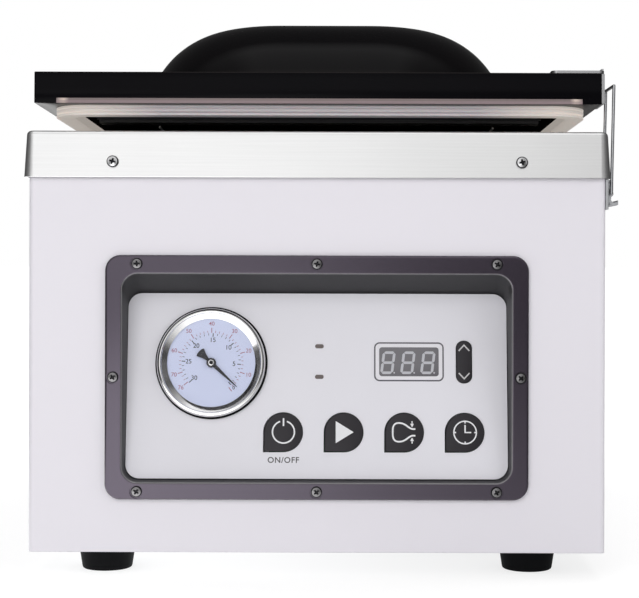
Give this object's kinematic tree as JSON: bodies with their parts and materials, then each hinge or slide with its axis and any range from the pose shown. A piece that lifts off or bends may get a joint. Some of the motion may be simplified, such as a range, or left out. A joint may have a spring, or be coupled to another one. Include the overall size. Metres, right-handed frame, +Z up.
{
  "type": "chamber vacuum sealer",
  "caption": "Table-top chamber vacuum sealer: painted steel case, stainless deck and chamber, hinged domed lid with lip gasket, seal bar, dial gauge and leaning key panel.",
  "frame": {"origin": "on the table under the middle of the machine", "axes": "+X to the right as the user faces it, +Y to the back, +Z up"},
  "size_m": [0.3424, 0.4815, 0.3337],
  "materials": {
    "white_paint": "satin powder coat",
    "stainless": "brushed stainless",
    "plated_steel": "zinc plated",
    "chrome_ring": "polished",
    "aluminium_bar": "machined",
    "black_anodised": "black anodised",
    "smoked_acrylic": "polished smoke-tinted acrylic",
    "gasket_silicone": "soft, matte",
    "pad_silicone": "matte",
    "ptfe_tape": "woven and coated",
    "bezel_plastic": "glossy moulding",
    "overlay": "fine texture",
    "key_plastic": "satin",
    "lens_plastic": "smoked",
    "display_lens": "smoked",
    "dial_white": "printed",
    "brass": "turned",
    "pointer_black": "matt black",
    "gauge_glass": "clear",
    "black_rubber": "moulded",
    "black_plastic": "moulded",
    "white_plastic": "smooth board",
    "board_green": "solder mask",
    "cast_alloy": "as cast",
    "motor_paint": "enamel",
    "winding": "varnished",
    "hose": "translucent"
  },
  "bodies": {
    "base": {"housing": "white_paint", "base_plate": "plated_steel", "rear_cover": "white_paint", "cover_screws": "plated_steel", "feet": "black_rubber", "foot_screws": "plated_steel", "deck": "stainless", "deck_screws": "plated_steel", "chamber": "stainless", "suction_grille": "stainless", "filler_plate": "white_plastic", "bladder": "black_rubber", "bar_pins": "plated_steel", "bezel": "bezel_plastic", "bezel_screws": "plated_steel", "panel_plate": "overlay", "led_lenses": "lens_plastic", "display_window": "display_lens", "display_module": "white_plastic", "control_board": "board_green", "gauge_case": "plated_steel", "gauge_dial": "dial_white", "gauge_movement": "brass", "gauge_lens": "gauge_glass", "gauge_bezel": "chrome_ring", "hinge_brackets": "stainless", "bracket_screws": "plated_steel", "hinge_shaft": "plated_steel", "hinge_springs": "plated_steel", "latch_base": "plated_steel", "pump": "cast_alloy", "pump_motor": "motor_paint", "pump_feet": "black_rubber", "transformer": "winding", "valve_block": "cast_alloy", "vacuum_hose": "hose", "fan_frame": "black_plastic", "power_inlet": "black_plastic"},
    "lid": {"lid": "smoked_acrylic", "lid_gasket": "gasket_silicone", "counter_bar": "black_anodised", "counter_strip": "pad_silicone", "hinge_arms": "stainless", "arm_screws": "plated_steel", "lid_catch": "stainless"},
    "seal_bar": {"seal_bar": "aluminium_bar", "heating_strip": "ptfe_tape"},
    "power_key": {"key_power": "key_plastic"},
    "start_key": {"key_start": "key_plastic"},
    "seal_key": {"key_seal": "key_plastic"},
    "set_key": {"key_set": "key_plastic"},
    "rocker": {"rocker_key": "key_plastic"},
    "pointer": {"gauge_pointer": "pointer_black"},
    "lever": {"latch_lever": "plated_steel"},
    "bail": {"latch_bail": "plated_steel"},
    "rotor": {"fan_rotor": "black_plastic"}
  },
  "joints": [
    {"name": "lid_hinge", "type": "hinge", "parent": "base", "child": "lid", "pos_m": [0, 0.228, 0.27], "axis": [-1, 0, 0], "range_deg": [-1.2, 50], "stiffness_Nm_per_rad": 6, "springref_deg": 63.03},
    {"name": "seal_bar_lift", "type": "slide", "parent": "base", "child": "seal_bar", "axis": [0, 0, 1], "range_m": [0, 0.008], "stiffness_N_per_m": 400, "deforming": ["bladder"]},
    {"name": "power_press", "type": "slide", "parent": "base", "child": "power_key", "axis": [0, 0.9914, -0.1305], "range_m": [0, 0.0005], "stiffness_N_per_m": 1500},
    {"name": "start_press", "type": "slide", "parent": "base", "child": "start_key", "axis": [0, 0.9914, -0.1305], "range_m": [0, 0.0005], "stiffness_N_per_m": 1500},
    {"name": "seal_press", "type": "slide", "parent": "base", "child": "seal_key", "axis": [0, 0.9914, -0.1305], "range_m": [0, 0.0005], "stiffness_N_per_m": 1500},
    {"name": "set_press", "type": "slide", "parent": "base", "child": "set_key", "axis": [0, 0.9914, -0.1305], "range_m": [0, 0.0005], "stiffness_N_per_m": 1500},
    {"name": "rocker_tip", "type": "hinge", "parent": "base", "child": "rocker", "pos_m": [0.0847, -0.22127, 0.12249], "axis": [1, 0, 0], "range_deg": [-1.5, 1.5], "stiffness_Nm_per_rad": 0.6},
    {"name": "gauge_needle", "type": "hinge", "parent": "base", "child": "pointer", "pos_m": [-0.0609, -0.22784, 0.1224], "axis": [0, -0.9914, 0.1305], "range_deg": [0, 270]},
    {"name": "lever_swing", "type": "hinge", "parent": "base", "child": "lever", "pos_m": [0.1684, -0.216, 0.226], "axis": [0, -1, 0], "range_deg": [0, 140]},
    {"name": "bail_swing", "type": "hinge", "parent": "lever", "child": "bail", "pos_m": [0.1687, -0.216, 0.2205], "axis": [0, 1, 0], "range_deg": [0, 175]},
    {"name": "fan_spin", "type": "hinge", "parent": "base", "child": "rotor", "pos_m": [-0.085, 0.19, 0.12], "axis": [0, 1, 0], "continuous": true}
  ],
  "couplings": [
    {"joint": "bail_swing", "follows": "lever_swing", "ratio": 1.2}
  ]
}
